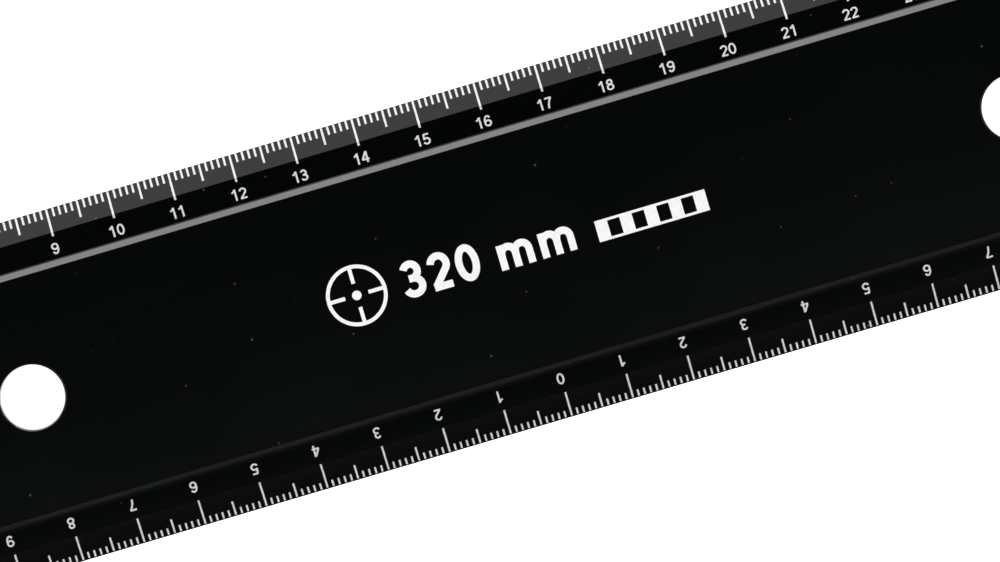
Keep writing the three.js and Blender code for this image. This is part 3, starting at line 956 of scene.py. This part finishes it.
def make_knob(brass):
    """A blind bore for the needle, a grooved collar, a diamond knurl and a low dome."""
    radius, length = radius_and_length("scriber_knob", Y_AXIS)
    bore, bore_end = KNOB_BORE["radius"], KNOB_BORE["depth"]
    profile = [
        (0, bore_end), (bore, bore_end), (bore, 0.2), (bore + 0.2, 0), (2.6, 0), (2.85, 0.25),
        (2.85, 0.9), (2.5, 1.1), (2.5, 1.5), (3.4, 1.9),
        *knurl(radius, end=length - 1.4, **KNOB_KNURL),
        (3.6, length - 1.2), (3.3, length - 0.8), (2.7, length - 0.45), (1.9, length - 0.2),
        (1.0, length - 0.05), (0, length),
    ]
    knob = turned_piece(
        "scriber_knob_grip", profile, upper_end("scriber_knob"), DOWN, "scriber", brass, sides=52
    )
    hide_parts("scriber_knob")


def make_bush(brass):
    radius, length = radius_and_length("scriber_bushing", Y_AXIS)
    profile = [
        (BUSH_BORE, 0.1), (BUSH_BORE + 0.1, 0), (radius - 0.1, 0), (radius, 0.1), (radius, length - 0.2),
        (radius - 0.2, length), (BUSH_BORE + 0.25, length), (BUSH_BORE, length - 0.25),
    ]
    bush = turned_piece(
        "scriber_bushing_finish", profile, upper_end("scriber_bushing"), DOWN,
        "head", brass, ring_shaped=True,
    )
    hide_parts("scriber_bushing")


# ---------------------------------------------------------------------------------------------
# Level vial
# ---------------------------------------------------------------------------------------------

VIAL_BORE = 3.2
VIAL_SIDES = 72
VIAL_LINE = {"apart": 6.8, "width": 0.45, "sunk": 0.05, "proud": 0.03}
FILL_RADIUS = VIAL_BORE - 0.01
FILL_END = 0.02  # from the end of the tube to the end of the spirit
BUBBLE = Vector((3.0, 2.0, 1.3))  # half-axes of the bubble
BUBBLE_DEPTH = 0.05  # of spirit in front of the bubble


def make_tube(glass):
    profile = tube_profile(VIAL_BORE, *radius_and_length("vial_tube", X_AXIS), chamfer=0.15)
    tube = turned_piece(
        "vial_tube_glass", profile, left_end("vial_tube"), RIGHT, "head", glass,
        sides=VIAL_SIDES, ring_shaped=True,
    )
    tube.visible_shadow = False  # light falls through the glass onto the white pocket
    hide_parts("vial_tube")


def make_vial_lines(enamel):
    """Two rings around the glass, on either side of its middle."""
    radius, length = radius_and_length("vial_tube", X_AXIS)
    inner, outer = radius - VIAL_LINE["sunk"], radius + VIAL_LINE["proud"]
    half = VIAL_LINE["width"] / 2
    for name, side in (("vial_line_left", -1), ("vial_line_right", 1)):
        along = (length + side * VIAL_LINE["apart"]) / 2
        line = [(inner, along - half), (outer, along - half), (outer, along + half), (inner, along + half)]
        turned_piece(
            name, line, left_end("vial_tube"), RIGHT, "head", enamel,
            sides=VIAL_SIDES, ring_shaped=True,
        )


def make_liquid(spirit):
    """Spirit that fills the bore, with the bubble as a hollow against its front."""
    start = left_end("vial_tube")
    length = radius_and_length("vial_tube", X_AXIS)[1]
    left, right = FILL_END, length - FILL_END
    profile = [(0, left), (FILL_RADIUS, left), (FILL_RADIUS, right), (0, right)]
    build = bmesh.new()
    turned(build, profile, start, RIGHT, VIAL_SIDES)
    bmesh.ops.recalc_face_normals(build, faces=build.faces)
    outside = set(build.faces)
    centre = start + Vector((length / 2, 0, FILL_RADIUS - BUBBLE_DEPTH - BUBBLE.z)) * MM
    place_bubble = Matrix.Translation(centre) @ Matrix.Diagonal((*(BUBBLE * MM), 1))
    bmesh.ops.create_uvsphere(build, u_segments=32, v_segments=20, radius=1, matrix=place_bubble)
    hollow = [face for face in build.faces if face not in outside]
    bmesh.ops.recalc_face_normals(build, faces=hollow)
    bmesh.ops.reverse_faces(build, faces=hollow)  # the spirit is outside the bubble
    mesh = bpy.data.meshes.new("vial_liquid_fill")
    build.to_mesh(mesh)
    build.free()
    liquid = add_piece("vial_liquid_fill", shade(mesh, sharp_degrees=40), "head", spirit)
    liquid.visible_shadow = False
    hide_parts("vial_liquid")


def make_caps(brass):
    for node in ("vial_cap_left", "vial_cap_right"):
        profile = plug_profile(*radius_and_length(node, X_AXIS), chamfer=0.3)
        cap = turned_piece(
            node + "_finish", profile, left_end(node), RIGHT, "head", brass, sides=VIAL_SIDES
        )
        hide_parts(node)


# ---------------------------------------------------------------------------------------------
# The whole square
# ---------------------------------------------------------------------------------------------

TURNED_MARKS = (0.05, 1, 0.05)  # tool marks of a piece that was turned on an axis along Y

FINE_PRINT = print_material("fine_print", (0.54, 0.56, 0.55), (0.66, 0.67, 0.66))
NICKEL = metal_material(
    "nickelled_steel", (0.52, 0.51, 0.48), (0.64, 0.63, 0.60), smooth=0.14, rough=0.26,
    streaks=TURNED_MARKS,
)
BRASS = metal_material(
    "brass", (0.58, 0.36, 0.11), (0.78, 0.55, 0.22), smooth=0.16, rough=0.32, streaks=TURNED_MARKS
)

make_camera()
make_world()
make_lights()
make_floor()

make_blade(anodised_material())
make_ticks(FINE_PRINT)
make_numbers(FINE_PRINT)
make_mark(print_material("solid_print", (0.82, 0.83, 0.82), (0.92, 0.92, 0.91)))

make_head(
    paint=wrinkle_paint("wrinkle_paint", bare=0.2),
    ground=metal_material(
        "ground_steel", (0.32, 0.32, 0.33), (0.37, 0.37, 0.38), smooth=0.2, rough=0.4,
        streaks=(0.03, 0.03, 1),
    ),
    worn=wrinkle_paint("worn_paint", bare=0.46),
    pocket=enamel_material("white_enamel", (0.62, 0.62, 0.58), (0.76, 0.76, 0.72)),
)

make_nut(NICKEL)
make_washer(NICKEL)
make_bolt(NICKEL)
make_spring(
    metal_material(
        "spring_wire", (0.26, 0.26, 0.27), (0.38, 0.38, 0.40), smooth=0.25, rough=0.4, streaks=(1, 1, 1)
    )
)

make_needle(
    metal_material(
        "hardened_steel", (0.40, 0.40, 0.42), (0.52, 0.52, 0.54), smooth=0.12, rough=0.24,
        streaks=TURNED_MARKS,
    )
)
make_knob(BRASS)
make_bush(BRASS)

make_tube(clear_material("vial_glass", (0.93, 0.97, 0.95), (0.97, 0.99, 0.98), ior=1.5))
make_vial_lines(enamel_material("black_enamel", (0.008, 0.008, 0.008), (0.016, 0.016, 0.017)))
make_liquid(clear_material("vial_spirit", (0.72, 0.94, 0.12), (0.80, 0.97, 0.18), ior=1.36))
make_caps(BRASS)
